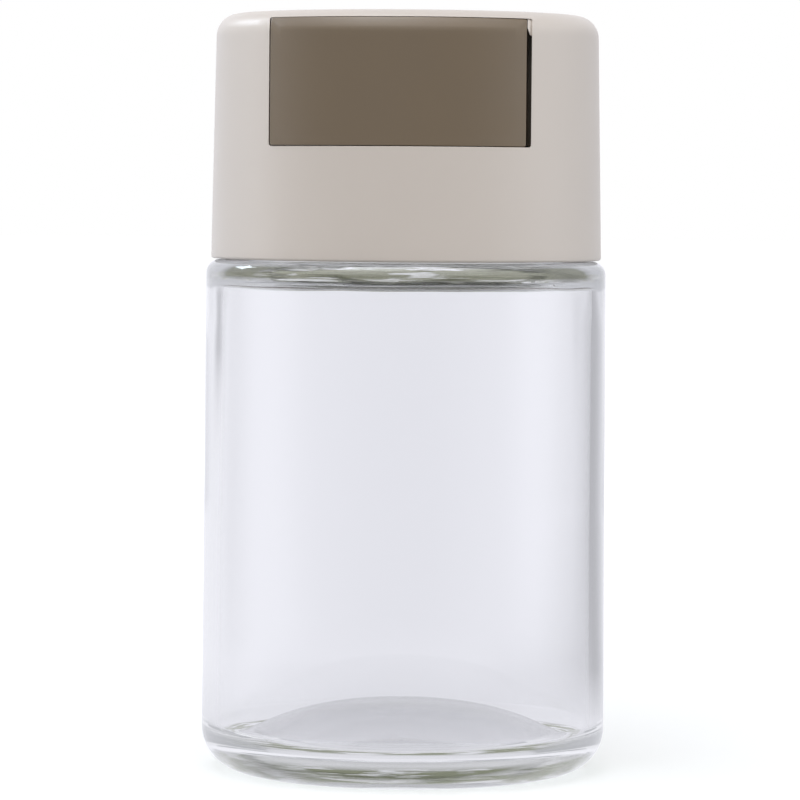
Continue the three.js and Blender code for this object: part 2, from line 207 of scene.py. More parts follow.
def vectorMaths(tree, operation, *terms):
    node = tree.nodes.new("ShaderNodeVectorMath")
    node.operation = operation
    for i, term in enumerate(terms):
        feed(tree, node, i, term)
    return node.outputs["Value" if operation in ("LENGTH", "DOT_PRODUCT") else "Vector"]


# carries a value from one range to another
def within(tree, value, old, new=(0, 1)):
    node = tree.nodes.new("ShaderNodeMapRange")
    for name, level in zip(("From Min", "From Max", "To Min", "To Max"), (*old, *new)):
        feed(tree, node, name, level)
    feed(tree, node, "Value", value)
    return node.outputs["Result"]


# a colour that follows a value, through stops of (place, colour or grey level)
def ramped(tree, value, stops):
    node = tree.nodes.new("ShaderNodeValToRGB")
    steps = node.color_ramp.elements
    for i, (place, colour) in enumerate(stops):
        step = steps[i] if i < 2 else steps.new(place)
        step.position = place
        step.color = (colour, colour, colour, 1) if isinstance(colour, (int, float)) else colour
    feed(tree, node, "Fac", value)
    return node.outputs["Color"]


def tinted(tree, share, first, second, blend="MIX"):
    node = tree.nodes.new("ShaderNodeMix")
    node.data_type, node.blend_type = "RGBA", blend
    for name, source in (("Factor", share), ("A", first), ("B", second)):
        feed(tree, node, name, source)
    return node.outputs["Result"]


def mixed(tree, share, first, second):
    node = tree.nodes.new("ShaderNodeMixShader")
    for i, source in enumerate((share, first, second)):
        feed(tree, node, i, source)
    return node.outputs["Shader"]


noiseSpan = (0.3, 0.7)  # where most of a noise's values lie
glossSpread = 0.08  # how far a moulded piece's roughness strays from its middle


def noise(tree, scale, detail, stretch=(1, 1, 1)):
    mapping, grain = tree.nodes.new("ShaderNodeMapping"), tree.nodes.new("ShaderNodeTexNoise")
    feed(tree, mapping, "Vector", tree.nodes.new("ShaderNodeTexCoord").outputs["Object"])
    feed(tree, mapping, "Scale", stretch)
    feed(tree, grain, "Vector", mapping.outputs["Vector"])
    feed(tree, grain, "Scale", scale)
    feed(tree, grain, "Detail", detail)
    return grain.outputs["Fac"]


def bump(tree, shader, value, strength, depth):
    node = tree.nodes.new("ShaderNodeBump")
    feed(tree, node, "Strength", strength)
    feed(tree, node, "Distance", depth * mm)
    feed(tree, node, "Height", value)
    if shader.inputs["Normal"].is_linked:  # a second bump lies on the first
        feed(tree, node, "Normal", shader.inputs["Normal"].links[0].from_socket)
    feed(tree, shader, "Normal", node.outputs["Normal"])


# moulded plastic: flow marks in the colour, uneven gloss and a fine spark-eroded skin
def mouldedPlastic(name, look):
    material, shader = newMaterial(name)[:2]
    tree = material.node_tree
    flow = noise(tree, look["flowScale"], 3, (1, 1, 0.5))
    deep, pale = ([min(1, c * (1 + side * look["flow"])) for c in look["colour"]] + [1] for side in (-1, 1))
    feed(tree, shader, "Base Color", ramped(tree, flow, zip(noiseSpan, (deep, pale))))
    patches = noise(tree, look["patchScale"], 4)
    gloss = [look["roughness"] * (1 + side * glossSpread) for side in (-1, 1)]
    feed(tree, shader, "Roughness", within(tree, patches, noiseSpan, gloss))
    grain = noise(tree, look["grainScale"], 2)
    bump(tree, shader, grain, look["grainStrength"], look["grainDepth"])
    shader.inputs["IOR"].default_value = look["ior"]
    shader.inputs["Specular IOR Level"].default_value = look["specular"]
    return material


creamLook = {
    "colour": (0.612, 0.547, 0.494), "flow": 0.012, "flowScale": 45, "patchScale": 160, "roughness": 0.34,
    "grainScale": 5200, "grainStrength": 0.12, "grainDepth": 0.02, "ior": 1.49, "specular": 0.5,
}
taupeLook = {
    "colour": (0.114, 0.0765, 0.036), "flow": 0.02, "flowScale": 50, "patchScale": 170, "roughness": 0.46,
    "grainScale": 5200, "grainStrength": 0.15, "grainDepth": 0.02, "ior": 1.49, "specular": 0.95,
}
whiteLook = {
    "colour": (0.80, 0.80, 0.78), "flow": 0.01, "flowScale": 60, "patchScale": 190, "roughness": 0.38,
    "grainScale": 4200, "grainStrength": 0.08, "grainDepth": 0.02, "ior": 1.5, "specular": 0.5,
}
siliconeLook = {
    "colour": (0.74, 0.75, 0.74), "flow": 0.02, "flowScale": 90, "patchScale": 240, "roughness": 0.62,
    "grainScale": 3000, "grainStrength": 0.2, "grainDepth": 0.03, "ior": 1.41, "specular": 0.35,
}
cream = mouldedPlastic("cream_satin_plastic", creamLook)
taupe = mouldedPlastic("taupe_satin_plastic", taupeLook)
white = mouldedPlastic("white_moulded_plastic", whiteLook)
silicone = mouldedPlastic("milky_silicone", siliconeLook)

# in the colours below, the shoulder streaks, the bore and the foot are olive glass darkened with painted
# shade, the disc colours are a painted shadow with a painted dark outline, and the glow colour is a painted
# glow
glassLook = {
    "clear": (0.99, 0.99, 0.995, 1), "ior": 1.5, "absorb": (0.62, 0.63, 0.59, 1), "density": 11,
    "shadow": (0.9, 0.92, 0.9, 1), "paintedGlow": (0.29, 0.295, 0.32, 1), "paintedGlowFrom": 3.5,
    "oliveStreakShade": (0.17, 0.174, 0.105, 1), "boreOliveShade": (0.30, 0.305, 0.23, 1), "foot": (0.12, 0.135, 0.06, 1),
    "streakScale": 110, "streakStretch": (1, 1, 20), "streakEdge": (0.39, 0.45), "footEdge": (0.42, 0.48),
    "streakStrength": 0.3, "streakDepth": 0.15, "waveScale": 55, "waveStrength": 0.10, "waveDepth": 0.10,
    "discShadowDeep": (0.30, 0.30, 0.305, 1), "discShadowMid": (0.42, 0.42, 0.43, 1), "discShadowPale": (0.84, 0.84, 0.85, 1),
    "discShadowLine": (0.03, 0.03, 0.03, 1), "discScale": 110, "discStretch": (0.4, 1.6, 1),
}
# stops from facing the eye (0) to edge-on (1), which place the painted shade on the glass
glassFacing = {
    "block": ((0, 0), (0.28, 0), (0.36, 1), (0.56, 1), (0.66, 0), (1, 0)),
    "rim": ((0, 1), (0.56, 1), (0.66, 0), (1, 0)),
    "foot": ((0, 1), (0.34, 1), (0.5, 0), (1, 0)),
    "disc": ((0, 0), (0.45, 0), (0.86, 1), (1, 1)),
    "line": ((0, 0), (0.88, 0), (0.93, 1), (1, 1)),
}
# limits of the thick parts, where the olive and the painted shade go: along the height ("up") or away from
# the axis ("out"), from outside to inside
glassZone = {
    "shoulder": (("up", 73.2, 73.8), ("up", 75.7, 75.2), ("out", 27, 28.2)),
    "bore": (("up", 73.4, 73.9), ("out", 22.5, 21.5)),
    "heel": (("up", 4, 3.2), ("up", 0.5, 1.2), ("out", 23.6, 24.4)),
    "disc": (("up", 4.55, 4.65), ("up", 12, 11), ("out", 25, 24.7)),
}


# 1 within a zone's limits, in the object's own space
def zoneShare(tree, limits):
    place = tree.nodes.new("ShaderNodeTexCoord").outputs["Object"]
    parts = tree.nodes.new("ShaderNodeSeparateXYZ")
    feed(tree, parts, "Vector", place)
    flat = vectorMaths(tree, "MULTIPLY", place, (1, 1, 0))
    lengths = {"up": parts.outputs["Z"], "out": vectorMaths(tree, "LENGTH", flat)}
    shares = [within(tree, lengths[kind], (outside * mm, inside * mm)) for kind, outside, inside in limits]
    total = shares[0]
    for share in shares[1:]:
        total = maths(tree, "MULTIPLY", total, share)
    return total


# follows how far the surface turns away from the eye
def facingShare(tree, stops):
    return ramped(tree, tree.nodes.new("ShaderNodeLayerWeight").outputs["Facing"], stops)


# pressed soda glass: clear in thin walls; in the shoulder, the bore and the foot olive glass darkened with
# painted shade, in streaks in the shoulder and the foot; the floor disc painted grey as a shadow, with a
# painted dark outline
def pressedGlass(look):
    material, shader, output = newMaterial("pressed_glass")
    tree = material.node_tree
    zone = {name: zoneShare(tree, limits) for name, limits in glassZone.items()}
    facing = {name: facingShare(tree, stops) for name, stops in glassFacing.items()}
    streaks = noise(tree, look["streakScale"], 5, look["streakStretch"])
    # the shoulder's painted shade: streaks from a noise, filled in where the surface turns halfway from the
    # eye, and none at the outer rim
    inRim = maths(tree, "MAXIMUM", within(tree, streaks, look["streakEdge"]), facing["block"])
    inRim = maths(tree, "MULTIPLY", zone["shoulder"], maths(tree, "MULTIPLY", inRim, facing["rim"]))
    # the foot's painted shade: dark olive streaks in the heel, fading as the heel turns from the eye
    inFoot = maths(tree, "MULTIPLY", zone["heel"], facing["foot"])
    inFoot = maths(tree, "MULTIPLY", inFoot, within(tree, streaks, look["footEdge"]))
    # the floor disc's painted shadow: grey, mottled by a noise, paler where the disc faces the eye, with a
    # painted dark outline where it is seen edge-on
    marks = noise(tree, look["discScale"], 3, look["discStretch"])
    disc = ramped(tree, marks, zip(noiseSpan, (look["discShadowDeep"], look["discShadowMid"])))
    disc = tinted(tree, facing["disc"], look["discShadowPale"], disc)
    disc = tinted(tree, facing["line"], disc, look["discShadowLine"])
    # the shoulder streaks: olive glass darkened with painted shade
    colour = tinted(tree, inRim, look["clear"], look["oliveStreakShade"])
    # the bore: olive glass darkened with painted shade
    colour = tinted(tree, zone["bore"], colour, look["boreOliveShade"])
    # the foot: dark olive glass with painted shade
    colour = tinted(tree, inFoot, colour, look["foot"])
    feed(tree, shader, "Base Color", tinted(tree, zone["disc"], colour, disc))
    shader.inputs["Transmission Weight"].default_value = 1
    shader.inputs["Roughness"].default_value = 0
    shader.inputs["IOR"].default_value = look["ior"]
    waves = noise(tree, look["waveScale"], 2, (1, 1, 0.35))
    bump(tree, shader, waves, look["waveStrength"], look["waveDepth"])
    lines = maths(tree, "MULTIPLY", maths(tree, "ADD", zone["shoulder"], zone["heel"]), streaks)
    bump(tree, shader, lines, look["streakStrength"], look["streakDepth"])
    body = tree.nodes.new("ShaderNodeVolumeAbsorption")
    body.inputs["Color"].default_value = look["absorb"]
    body.inputs["Density"].default_value = look["density"]
    feed(tree, output, "Volume", body.outputs["Volume"])
    # a painted glow: the glass glows pale grey where a ray reaches it after several bounces, so that deep
    # paths don't go dark; and the jar's shadow stays light
    path = tree.nodes.new("ShaderNodeLightPath").outputs
    paintedGlow = maths(tree, "GREATER_THAN", path["Glossy Depth"], look["paintedGlowFrom"])
    feed(tree, shader, "Emission Strength", paintedGlow)
    shader.inputs["Emission Color"].default_value = look["paintedGlow"]
    clear = tree.nodes.new("ShaderNodeBsdfTransparent")
    clear.inputs["Color"].default_value = look["shadow"]
    surface = mixed(tree, path["Is Shadow Ray"], shader.outputs["BSDF"], clear.outputs["BSDF"])
    feed(tree, output, "Surface", surface)
    return material


glass = pressedGlass(glassLook)

steelLook = {"colour": (0.55, 0.56, 0.57), "deep": 0.9, "roughness": 0.26, "uneven": (0.8, 1.3),
             "drawScale": 900, "drawStretch": (1, 0.05, 1), "drawStrength": 0.1, "drawDepth": 0.02}


# drawn wire and turned screws, with fine marks along the wire
def brightSteel(look):
    material, shader = newMaterial("bright_steel")[:2]
    tree = material.node_tree
    shader.inputs["Metallic"].default_value = 1
    marks = noise(tree, look["drawScale"], 3, look["drawStretch"])
    deep = [c * look["deep"] for c in look["colour"]] + [1]
    feed(tree, shader, "Base Color", ramped(tree, marks, zip(noiseSpan, (deep, [*look["colour"], 1]))))
    gloss = [look["roughness"] * share for share in look["uneven"]]
    feed(tree, shader, "Roughness", within(tree, marks, noiseSpan, gloss))
    bump(tree, shader, marks, look["drawStrength"], look["drawDepth"])
    return material


steel = brightSteel(steelLook)
print("materials made")


def finishPiece(piece, material, body, slot, *nodes):
    piece.data.materials.clear()
    piece.data.materials.append(material)
    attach(piece, body)
    if nodes:
        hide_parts(*nodes)
    return piece


# the jar

jarHigh = nodeBox("glass_jar")[1]
jar = {
    "radius": jarHigh.x, "taper": 0.3, "bodyHeight": 76, "rim": jarHigh.z, "wall": 2.2, "heel": 6.5,
    "shoulder": 2, "crown": 3.5, "crownCorner": 0.6, "boreRound": 0.8, "floor": 4.7, "floorDome": 5.5,
    "domePower": 2.7, "innerHeel": 3, "footRing": 3.5, "punt": 4, "neckRadius": 23.4, "neckWall": 2.6,
    "neckRoot": 1.2, "rimRound": 1, "segments": 288, "waveDepth": 0.05, "crownWave": 0.03,
    "crownFrom": 12, "rippleFrom": 6, "crownFull": 4,  # under the top of the body
    "ripple": 0.07, "rippleLength": 1.7, "boreRipple": 0.04, "boreLength": 1.3, "boreDrift": 1.3,
}
# waves round the glass: how many, their phase, how it moves on per mm of height, their share
jarWaves = {
    "drift": ((3, 0.7, 0, 1.4), (7, 2.5, 0, 1.1)),
    "slow": ((2, 0.5, 0.02, 1), (5, 2.1, -0.035, 0.6)),
    "quick": ((11, 0.4, 0, 1), (17, 1.9, 0.3, 0.7)),
}
thread = {"lead": 5, "turns": 1.7, "low": 78.6, "height": 1.0, "halfWidth": 1.15, "flank": 0.75,
          "runOutDeg": 35, "rowStep": 0.22}


# how far the neck's thread stands out at an angle and a height
def threadHeight(angle, z):
    tall = 0
    for turn in range(math.ceil(thread["turns"]) + 1):
        along = angle + 2 * math.pi * turn
        last = 2 * math.pi * thread["turns"]
        if along > last:
            break
        away = abs(z - thread["low"] - thread["lead"] * along / (2 * math.pi)) / thread["halfWidth"]
        if away < 1:
            runOut = math.radians(thread["runOutDeg"])
            fade = smoothStep(0, runOut, along) * smoothStep(0, runOut, last - along)
            tall = max(tall, fade * smoothStep(0, thread["flank"], 1 - away))
    return tall * thread["height"]


def jarOutside():
    heelR, shoulderR = jar["radius"], jar["radius"] - jar["taper"]
    footOuter = heelR - jar["heel"]
    footInner = footOuter - jar["footRing"]
    punt = [(footInner * (i / 10), jar["punt"] * (1 - (i / 10) ** 2)) for i in range(10)]
    heel = arc(footOuter, jar["heel"], jar["heel"], -90, 0, 24)
    shoulderZ = jar["bodyHeight"] - jar["shoulder"]
    shoulder = arc(shoulderR - jar["shoulder"], shoulderZ, jar["shoulder"], 0, 90, 12)
    rootR, rootZ = jar["neckRadius"] + jar["neckRoot"], jar["bodyHeight"] + jar["neckRoot"]
    root = arc(rootR, rootZ, jar["neckRoot"], 270, 180, 8)
    rimZ = jar["rim"] - jar["rimRound"]
    neck = between(root[-1], (jar["neckRadius"], rimZ), int((rimZ - rootZ) / thread["rowStep"]))
    rim = arc(jar["neckRadius"] - jar["rimRound"], rimZ, jar["rimRound"], 0, 90, 6)
    walls = between(heel[-1], shoulder[0], 30)
    return [*punt, (footInner, 0), *heel, *walls, *shoulder, *root, *neck, *rim]


def jarInside():
    boreR = jar["neckRadius"] - jar["neckWall"]
    hollowTop = jar["bodyHeight"] - jar["crown"]
    highR = jar["radius"] - jar["taper"] - jar["wall"]
    lowR = jar["radius"] - jar["wall"]
    innerHeel = jar["innerHeel"]
    corner, boreRound = jar["crownCorner"], jar["boreRound"]
    rim = arc(boreR + jar["rimRound"], jar["rim"] - jar["rimRound"], jar["rimRound"], 90, 180, 6)
    bore = arc(boreR + boreRound, hollowTop + boreRound, boreRound, 180, 270, 10)
    crown = arc(highR - corner, hollowTop - corner, corner, 90, 0, 8)
    heel = arc(lowR - innerHeel, jar["floor"] + innerHeel, innerHeel, 0, -90, 18)
    floorR = lowR - innerHeel
    shares = [1 - i / 24 for i in range(1, 25)]
    floor = [(floorR * s, jar["floor"] + jar["floorDome"] * (1 - s ** jar["domePower"])) for s in shares]
    return [*rim, *between(rim[-1], bore[0], 60), *bore, *between(bore[-1], crown[0], 24), *crown,
            *between(crown[-1], heel[0], 44), *heel, *floor]


def waved(kind, angle, z):
    total = 0
    for count, phase, rise, share in jarWaves[kind]:
        total += share * math.sin(count * angle + phase + rise * z)
    return total


# glass is never quite even: slow waves on its inside, ripples on the hollow's ceiling and in the bore
def jarShape(r, z, angle):
    if abs(r - jar["neckRadius"]) < 0.01 and z > jar["bodyHeight"]:
        return r + threadHeight(angle, z), z
    drift = waved("drift", angle, z)
    boreR = jar["neckRadius"] - jar["neckWall"]
    if abs(r - boreR) < 0.01 and z < jar["rim"] - 2:
        turn = 2 * math.pi * z / jar["boreLength"] + jar["boreDrift"] * drift
        return r + jar["boreRipple"] * math.sin(turn), z
    inside = r < jar["radius"] - 1.2 * jar["wall"] + 0.3 and z > jar["floor"]
    if not inside or z > jar["bodyHeight"] - 1:
        return r, z
    full = jar["bodyHeight"] - jar["crownFull"]
    nearCrown = smoothStep(jar["bodyHeight"] - jar["crownFrom"], full, z)
    wave = jar["waveDepth"] * waved("slow", angle, z)
    wave += jar["crownWave"] * waved("quick", angle, z) * nearCrown
    onCeiling = smoothStep(jar["bodyHeight"] - jar["rippleFrom"], full, z)
    ripple = math.sin(2 * math.pi * r / jar["rippleLength"] + drift) * onCeiling
    return r + wave, z + jar["ripple"] * ripple


def makeJar():
    points, faces = turned([*jarOutside(), *jarInside()], jar["segments"], jarShape)
    piece = addMesh("jar_glass", points, faces)
    smooth(piece, sharpDeg=60)
    return finishPiece(piece, glass, "jar", "clear_glass", "glass_jar")


makeJar()
print("jar made")

# the cap's outside, shared by the shell and the button

shellLow, shellHigh = nodeBox("cap_shell")
cap = {"foot": shellLow.z, "height": shellHigh.z - shellLow.z, "footRadius": shellHigh.x, "draftDeg": 1.1,
       "edgeRadius": 3.3, "lipRadius": 0.4}
cap["draft"] = math.radians(cap["draftDeg"])
cap["roundZ"] = cap["height"] - cap["edgeRadius"]
cap["wallTop"] = cap["roundZ"] + cap["edgeRadius"] * math.sin(cap["draft"])
cap["wallLength"] = cap["wallTop"] / math.cos(cap["draft"])
cap["roundR"] = cap["footRadius"] - cap["wallTop"] * math.tan(cap["draft"])
cap["roundR"] -= cap["edgeRadius"] * math.cos(cap["draft"])
beyond = 40  # past anything that a cut has to pass


# radius and height over the cap's foot, a way up its wall and round its top edge
def capOutline(way):
    if way <= cap["wallLength"]:
        return cap["footRadius"] - way * math.sin(cap["draft"]), way * math.cos(cap["draft"])
    turn = cap["draft"] + (way - cap["wallLength"]) / cap["edgeRadius"]
    radius = cap["roundR"] + cap["edgeRadius"] * math.cos(turn)
    return radius, cap["roundZ"] + cap["edgeRadius"] * math.sin(turn)


def wayAt(height):
    if height <= cap["wallTop"]:
        return height / math.cos(cap["draft"])
    turn = math.asin((height - cap["roundZ"]) / cap["edgeRadius"])
    return cap["wallLength"] + cap["edgeRadius"] * (turn - cap["draft"])


def onCap(x, way):
    radius, height = capOutline(way)
    return Vector((x, -math.sqrt(radius ** 2 - x ** 2), cap["foot"] + height))


# rings in the cap's skin: nAcross steps along, nUp steps up and nCorner steps round each corner
ring = {"nAcross": 60, "nUp": 30, "nCorner": 6}


def spaced(start, end, count):
    return [start + (end - start) * i / count for i in range(count)]


# a rectangle with round corners, as ((x, way), direction out of it)
def roundRing(half, low, high, corner):
    points = []
    sides = [
        ((-half + corner, low), (half - corner, low), -90, ring["nAcross"]),
        ((half, low + corner), (half, high - corner), 0, ring["nUp"]),
        ((half - corner, high), (-half + corner, high), 90, ring["nAcross"]),
        ((-half, high - corner), (-half, low + corner), 180, ring["nUp"]),
    ]
    for start, end, facing, count in sides:
        out = (round(math.cos(math.radians(facing))), round(math.sin(math.radians(facing))))
        for x, way in zip(spaced(start[0], end[0], count), spaced(start[1], end[1], count)):
            points.append(((x, way), out))
        centre = (end[0] - out[0] * corner, end[1] - out[1] * corner)
        for turn in spaced(facing, facing + 90, ring["nCorner"]):
            out = (math.cos(math.radians(turn)), math.sin(math.radians(turn)))
            points.append(((centre[0] + corner * out[0], centre[1] + corner * out[1]), out))
    return points


# stops along one side of a rectangle, with half of a corner's steps on the leg at each end
def sideStops(low, high, leg, count):
    corner = ring["nCorner"] // 2
    first, last = spaced(low, low + leg, corner), spaced(high - leg, high, corner)
    return [*first, *spaced(low + leg, high - leg, count), *last, high]


# a rectangle with sharp corners, with as many points as the round one
def sharpRing(across, ways):
    points = [(x, ways[0]) for x in across[:-1]] + [(across[-1], way) for way in ways[:-1]]
    points += [(x, ways[-1]) for x in across[:0:-1]] + [(across[0], way) for way in ways[:0:-1]]
    corner = ring["nCorner"] // 2
    return points[corner:] + points[:corner]


# rows that round the edge between the cap's skin and walls that run straight back
def edgeRows(points, edge, side, steps):
    rows = [[] for _ in range(steps + 2)]
    back = Vector((0, 1, 0))
    tiny = 0.01
    support = 0.1  # keeps the skin flat right up to the edge
    for (x, way), out in points:
        corner = onCap(x, way)
        ahead = onCap(x + side * out[0] * tiny, way + side * out[1] * tiny)
        along = (ahead - corner).normalized()
        wedge = along.angle(back)
        radius = min(edge["radius"], edge["reach"] * math.tan(wedge / 2))
        reach = radius / math.tan(wedge / 2)
        centre = corner + (along + back).normalized() * radius / math.sin(wedge / 2)
        first, last = corner + along * reach - centre, corner + back * reach - centre
        away = side * (reach + support)
        rows[0].append(onCap(x + out[0] * away, way + out[1] * away))
        for i in range(steps + 1):
            rows[i + 1].append(centre + radius * first.slerp(last, i / steps).normalized())
    return rows


# the shell

shell = {
    "windowHalf": 18.9, "windowLow": 16.55, "windowHigh": 35.05, "windowBack": -5.68, "windowCorner": 0.35,
    "edge": {"radius": 0.2, "reach": 0.06}, "edgeSteps": 6, "margin": 1.6, "leg": 0.9, "frameDepth": 1.2,
    "pocketWall": 1.2, "pocketRoot": 1, "pocketDrop": 0.05, "pocketEnd": -15.78,
    "bore": 26.9, "deckTop": 15.75, "topWall": 1.8, "sideWall": 1.8, "innerRound": 1.5,
    "beadLift": 0.8, "beadWidth": 1.2, "beadHeight": 0.7,
    "ribBearings": (-5, 40, 90, 140, 185), "ribThickness": 1.2, "ribInner": 24.9, "ribLow": 14.65,
    "outletY": 8, "outletHalf": (8.5, 4.5), "outletCorner": 3, "outletEdge": 0.35, "outletDepth": 4.68,
    "topShares": (0.2, 0.45, 0.7, 0.88), "backSteps": 130,
    "formLow": 16.86, "formHigh": 34.99, "formPast": 1.5,
    "tongue": ((18.26, 35.5), (18.26, 33.7), (18.62, 32.7), (18.8, 32.6), (19.4, 32.9), (19.4, 35.5)),
    "tongueBack": -16.2, "tongueSunk": 0.25,
}


# signed distance from the outlet's outline
def outletDistance(x, y):
    corner = shell["outletCorner"]
    dx, dy = (abs(v) - half + corner for v, half in zip((x, y - shell["outletY"]), shell["outletHalf"]))
    outside = math.hypot(max(dx, 0), max(dy, 0))
    return outside + min(max(dx, dy), 0) - corner


# where a line from the outlet's middle to a point crosses an outline that is offset from the outlet's
def outletPoint(x, y, offset):
    low, high = 0, 1
    for _ in range(40):
        middle = (low + high) / 2
        inside = outletDistance(x * middle, shell["outletY"] + (y - shell["outletY"]) * middle) < offset
        low, high = (middle, high) if inside else (low, middle)
    return x * low, shell["outletY"] + (y - shell["outletY"]) * low


def shellSkin():
    half, margin = shell["windowHalf"], shell["margin"]
    low, high = wayAt(shell["windowLow"]), wayAt(shell["windowHigh"])
    leg = shell["leg"] + margin
    across = sideStops(-half - margin, half + margin, leg, ring["nAcross"])
    ways = sideStops(low - margin, high + margin, leg, ring["nUp"])
    frameRing = sharpRing(across, ways)

    def fullRow(radius, height):
        front = [math.asin(x / radius) for x in across]
        behind = spaced(front[-1], 2 * math.pi + front[0], shell["backSteps"])[1:]
        return [(radius * math.sin(a), -radius * math.cos(a), cap["foot"] + height) for a in front + behind]

    wayEnd = cap["wallLength"] + cap["edgeRadius"] * (math.pi / 2 - cap["draft"])
    lip = arc(cap["footRadius"] - cap["lipRadius"], cap["lipRadius"], cap["lipRadius"], -90, 0, 8)
    lowWays = spaced(cap["lipRadius"], ways[0], 10)[1:] + [ways[0]]
    highWays = spaced(ways[-1], wayEnd, 8) + [wayEnd]
    below = [[(0, 0, cap["foot"])]] + [fullRow(r, z) for r, z in lip]
    below += [fullRow(*capOutline(w)) for w in lowWays]
    above = [fullRow(*capOutline(w)) for w in highWays]
    edge, topZ = shell["outletEdge"], cap["foot"] + cap["height"]
    rim = above[-1]
    holeRim = [outletPoint(x, y, edge) for x, y, z in rim]
    for share in shell["topShares"]:
        above.append([(x + (hx - x) * share, y + (hy - y) * share, topZ)
                      for (x, y, z), (hx, hy) in zip(rim, holeRim)])
    for turn in spaced(0, math.pi / 2, 6) + [math.pi / 2]:
        z = topZ - edge + edge * math.cos(turn)
        above.append([(*outletPoint(x, y, edge * (1 - math.sin(turn))), z) for x, y, _ in rim])
    above.append([(x, y, topZ - shell["outletDepth"]) for x, y, z in above[-1]])
    points, faces = skinFaces(below)
    addSkin(points, faces, above)
    closeWith(points, faces, above[-1])
    # beside and behind the window
    fullRows = [fullRow(*capOutline(w)) for w in ways]
    sides = [row[len(across) - 1:] + row[:1] for row in fullRows]
    for a, b in zip(sides, sides[1:]):
        for i in range(len(a) - 1):
            closeWith(points, faces, [a[i], a[i + 1], b[i + 1], b[i]])
    # the window's frame, its round edge and the pocket behind it
    edgeRing = roundRing(half, low, high, shell["windowCorner"])
    nearRing = roundRing(half + 0.5 * margin, low - 0.5 * margin, high + 0.5 * margin,
                         shell["windowCorner"] + 0.5 * margin)
    rows = [[onCap(x, w) for x, w in frameRing], [onCap(x, w) for (x, w), out in nearRing]]
    rows += edgeRows(edgeRing, shell["edge"], 1, shell["edgeSteps"])
    rows.append([Vector((p.x, p.y + shell["frameDepth"], p.z)) for p in rows[-1]])
    rows.append([Vector((p.x, shell["windowBack"], p.z)) for p in rows[-1]])
    addSkin(points, faces, rows)
    closeWith(points, faces, rows[-1])
    return points, faces


def shellHollow():
    ceiling = cap["height"] - shell["topWall"]
    roundZ = ceiling - shell["innerRound"]
    wallR = cap["footRadius"] - roundZ * math.tan(cap["draft"]) - shell["sideWall"]
    bore, beadLow, beadHigh = shell["bore"], shell["beadLift"], shell["beadLift"] + shell["beadWidth"]
    bead = [(bore, beadLow), (bore - shell["beadHeight"], (beadLow + beadHigh) / 2), (bore, beadHigh)]
    corner = arc(wallR - shell["innerRound"], roundZ, shell["innerRound"], 0, 90, 6)
    profile = [(0, -1), (bore, -1), *bead, (bore, shell["deckTop"]), *corner, (0, ceiling)]
    points, faces = turned([(r, z + cap["foot"]) for r, z in profile], segments=180)
    hollow = addMesh("shell_hollow", points, faces)
    low, high = cap["foot"] + shell["windowLow"] - shell["pocketDrop"], cap["foot"] + beyond
    near, far = shell["windowHalf"] - shell["pocketRoot"], shell["windowHalf"] + shell["pocketWall"]
    for side in (-1, 1):
        xs = sorted((side * near, side * far))
        pocket = block("pocket", (xs[0], -beyond, low), (xs[1], shell["pocketEnd"], high))
        combine(hollow, pocket, "DIFFERENCE")
    thick = shell["ribThickness"] / 2
    for bearing in shell["ribBearings"]:
        ribLow = (shell["ribInner"], -thick, cap["foot"] + shell["ribLow"])
        combine(hollow, block("rib", ribLow, (beyond, thick, high), bearing), "DIFFERENCE")
    return hollow


# the cap's outside round the window, taken in by an offset
def takenIn(name, offset):
    ways = [wayAt(shell["formLow"])]
    ways += spaced(cap["wallLength"], wayAt(shell["formHigh"]) + shell["formPast"], 8)
    outline = [capOutline(w) for w in ways]
    profile = [(0, outline[0][1])] + [(r - offset, z) for r, z in outline] + [(0, outline[-1][1])]
    points, faces = turned([(r, z + cap["foot"]) for r, z in profile], segments=160)
    return addMesh(name, points, faces)


# fills the top of the wide gap at the button's right
def makeTongue():
    ends = [[(x, y, cap["foot"] + z) for x, z in shell["tongue"]] for y in (-beyond, shell["tongueBack"])]
    points, faces = skinFaces(ends)
    for end in ends:
        closeWith(points, faces, end)
    piece = addMesh("tongue", points, faces)
    combine(piece, takenIn("tongue_form", shell["tongueSunk"]), "INTERSECT")
    return piece


def makeShell():
    piece = addMesh("cap_cover", *shellSkin())
    combine(piece, shellHollow(), "DIFFERENCE")
    combine(piece, makeTongue(), "UNION")
    smooth(piece)
    return finishPiece(piece, cream, "cap", "cream_plastic", "cap_shell")


makeShell()
print("cap shell made")

# the button

button = {
    "half": 18.45, "shift": -0.28, "low": 16.66, "high": 34.99, "back": -13.98, "corner": 0.3,
    "edge": {"radius": 0.2, "reach": 0.06}, "edgeSteps": 6, "margin": 1.4, "leg": 0.8, "wall": 2,
    "roomBack": 5, "slideFront": -16.1, "slideTop": 23.65, "slideRoom": 12.6,
    "flange": 1.4, "flangeThickness": 1.5, "flangeTop": 34.15, "flangeLift": 0.1, "flangeInset": 0.02,
    "springX": 12.5, "springZ": 28.9, "bossRadius": 4.2, "bossFace": -19.0,
    "pinRadius": 2.2, "pinLength": 3.05, "pinRoot": 0.5,
    "hookX": 6.3, "hookThickness": 1.4, "hookLip": 1.2, "hookLow": 23.85, "hookHigh": 31.1,
    "hookFront": 3.5, "armPast": 0.7, "tabFront": -15.5, "tabThickness": 2, "gap": 0.1,
}


